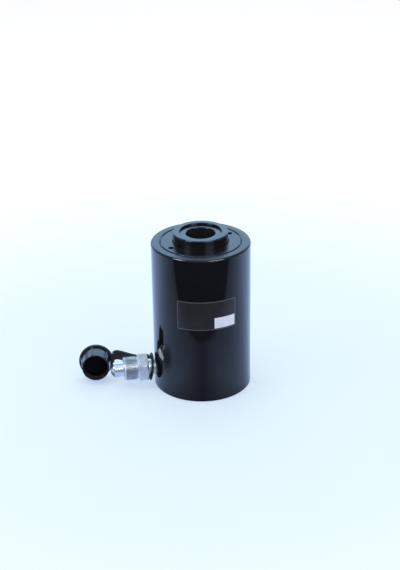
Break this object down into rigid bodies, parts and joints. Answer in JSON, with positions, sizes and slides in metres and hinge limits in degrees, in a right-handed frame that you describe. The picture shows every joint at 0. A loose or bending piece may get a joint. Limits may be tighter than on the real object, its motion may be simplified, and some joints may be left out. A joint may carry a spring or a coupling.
{
  "type": "hollow plunger cylinder",
  "caption": "Black hollow plunger hydraulic cylinder with a spring-return plunger, a through hole, a flush gland nut, a hexagon coupler with check valve and a ribbed dust cap on a strap.",
  "frame": {"origin": "centre of the through hole at the base face", "axes": "+Z along the through hole towards the plunger's top, -X along the coupler"},
  "size_m": [0.2024, 0.115, 0.192],
  "materials": {
    "black_enamel": "gloss black enamel",
    "black_plunger": "gloss black, turned",
    "tube_steel": "honed steel",
    "seal_rubber": "black nitrile rubber",
    "backup_plastic": "white backup plastic",
    "bearing_bronze": "bronze bearing strip",
    "spring_steel": "phosphated spring steel",
    "seal_urethane": "amber urethane",
    "wear_plastic": "fabric-filled wear strip",
    "zinc_plate": "dull zinc plate",
    "polished_steel": "polished steel",
    "cap_plastic": "semi-gloss black plastic",
    "strap_rubber": "matte black rubber"
  },
  "bodies": {
    "cylinder": {"cylinder_body": "black_enamel", "center_tube": "tube_steel", "tube_o_ring": "seal_rubber", "tube_backup_ring": "backup_plastic", "gland_nut": "black_enamel", "rod_wiper": "seal_rubber", "gland_bearing": "bearing_bronze", "return_spring": "spring_steel", "coupler_body": "zinc_plate", "coupler_nose": "polished_steel", "nose_o_ring": "seal_rubber", "spring_seat": "zinc_plate", "check_spring": "spring_steel"},
    "plunger": {"plunger": "black_plunger", "saddle": "black_plunger", "piston_seal": "seal_urethane", "piston_backup_ring": "backup_plastic", "piston_wear_ring": "wear_plastic", "tube_seal": "seal_urethane", "tube_seal_backup": "backup_plastic", "tube_wear_ring": "wear_plastic"},
    "check_ball": {"check_ball": "polished_steel"},
    "strap_ring": {"strap_ring_end": "strap_rubber"},
    "dust_cap": {"dust_cap": "cap_plastic", "strap_cap_end": "strap_rubber"}
  },
  "joints": [
    {"name": "plunger_stroke", "type": "slide", "parent": "cylinder", "child": "plunger", "axis": [0, 0, 1], "range_m": [0, 0.06], "stiffness_N_per_m": 10700, "springref_m": -0.03, "deforming": ["return_spring"]},
    {"name": "check_lift", "type": "slide", "parent": "cylinder", "child": "check_ball", "axis": [1, 0, 0], "range_m": [0, 0.003], "stiffness_N_per_m": 500, "springref_m": -0.002, "deforming": ["check_spring"]},
    {"name": "strap_swivel", "type": "hinge", "parent": "cylinder", "child": "strap_ring", "pos_m": [-0.06205, 0, 0.023], "axis": [1, 0, 0], "continuous": true},
    {"name": "cap_flex", "type": "hinge", "parent": "strap_ring", "child": "dust_cap", "pos_m": [-0.07175, 0.02018, 0.023], "axis": [0, 0, 1], "range_deg": [-70, 0], "stiffness_Nm_per_rad": 0.004}
  ]
}
